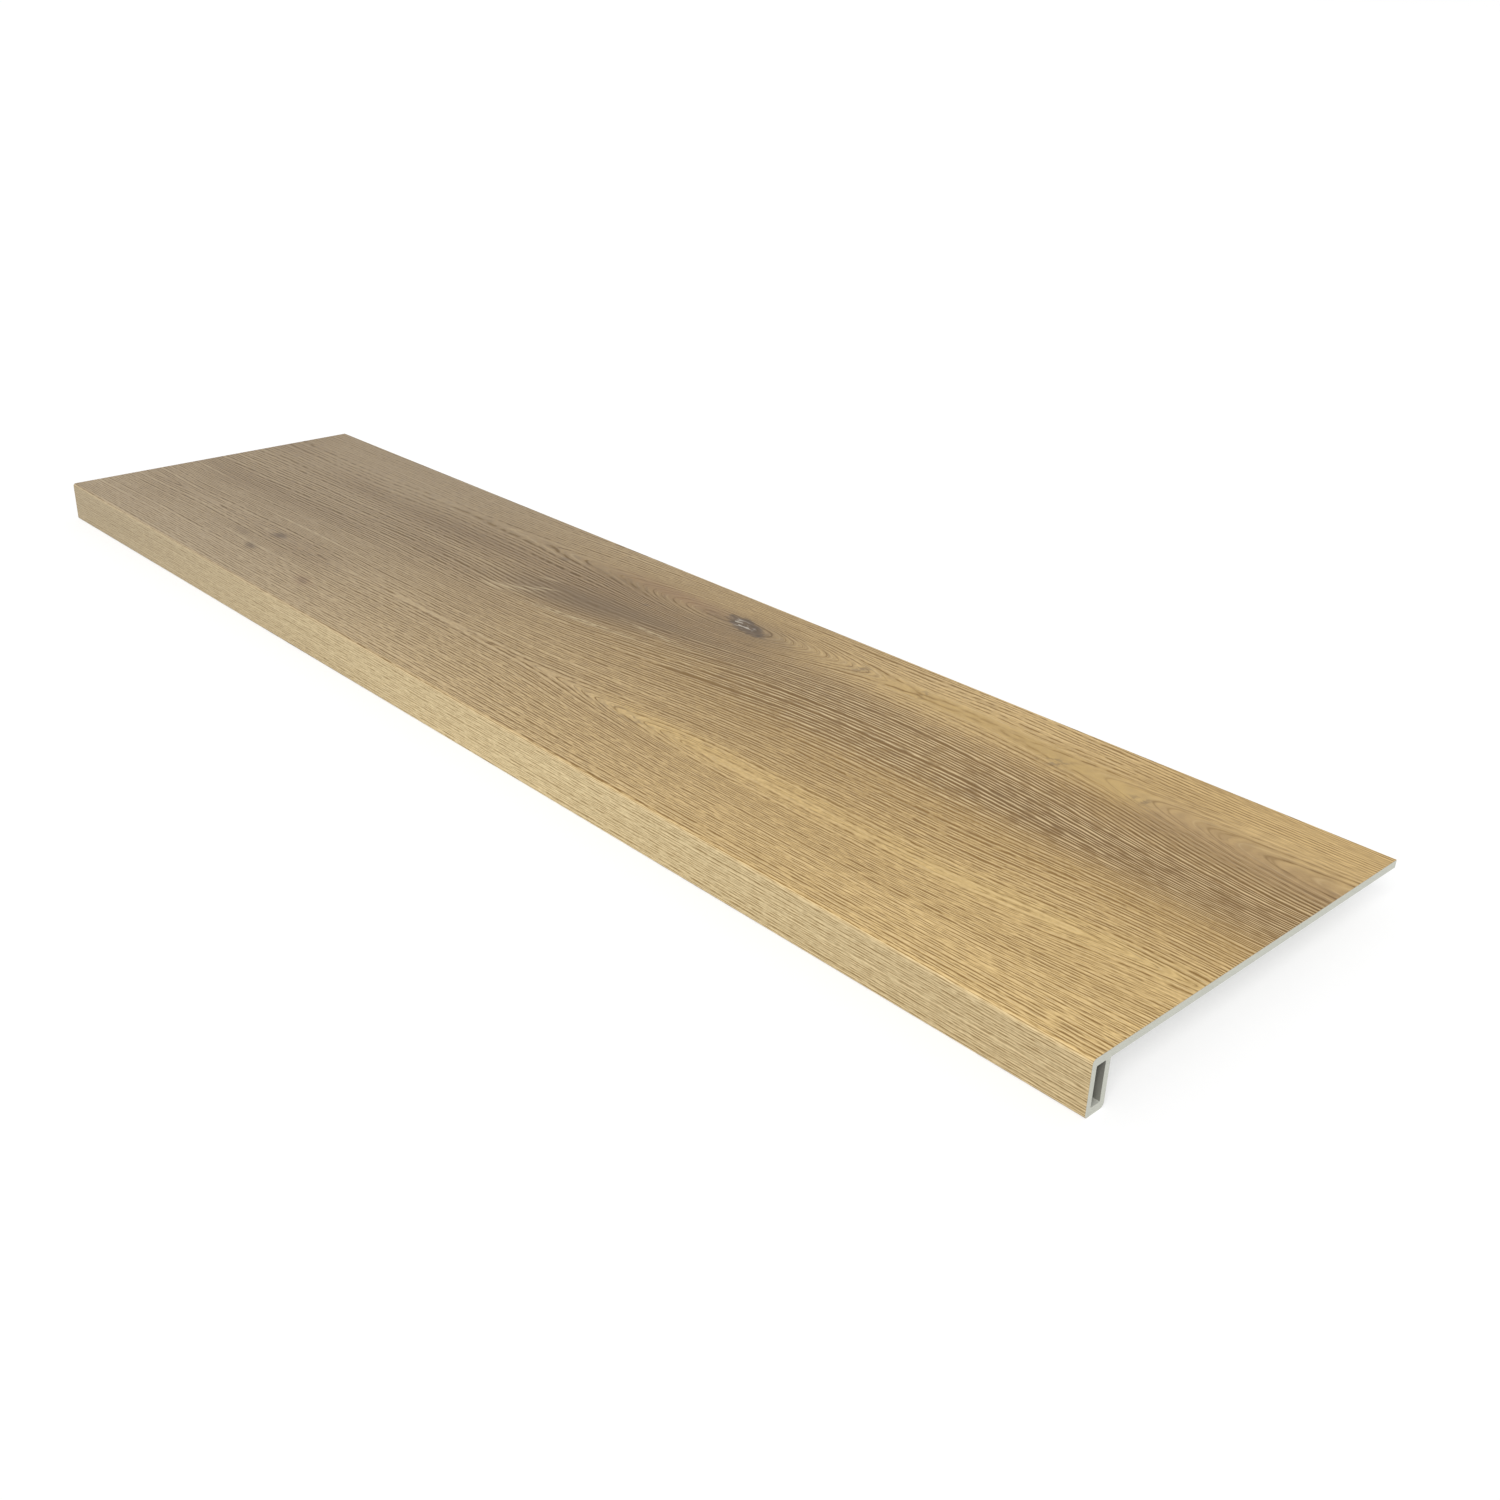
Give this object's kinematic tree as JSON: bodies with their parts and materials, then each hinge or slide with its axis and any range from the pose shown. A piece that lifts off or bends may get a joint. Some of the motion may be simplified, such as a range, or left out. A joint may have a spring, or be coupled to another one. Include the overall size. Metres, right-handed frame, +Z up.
{
  "type": "stair tread",
  "caption": "Flat rigid-vinyl stair tread cover with an oak-look face and a hollow square nose that hangs over the front edge of a step.",
  "frame": {"origin": "middle of the tread's outline seen from above, level with the sole of the nose", "axes": "+X along the tread, to the right of someone who climbs; -Y the nose and front; +Y the rear edge; +Z up, out of the face that is stepped on"},
  "size_m": [1.2, 0.3, 0.0355],
  "materials": {
    "core": "matt extruded and sawn rigid vinyl",
    "decor": "satin oak print under a clear wear layer"
  },
  "bodies": {
    "root": {"core_profile": "core", "decor_film": "decor"}
  },
  "joints": []
}
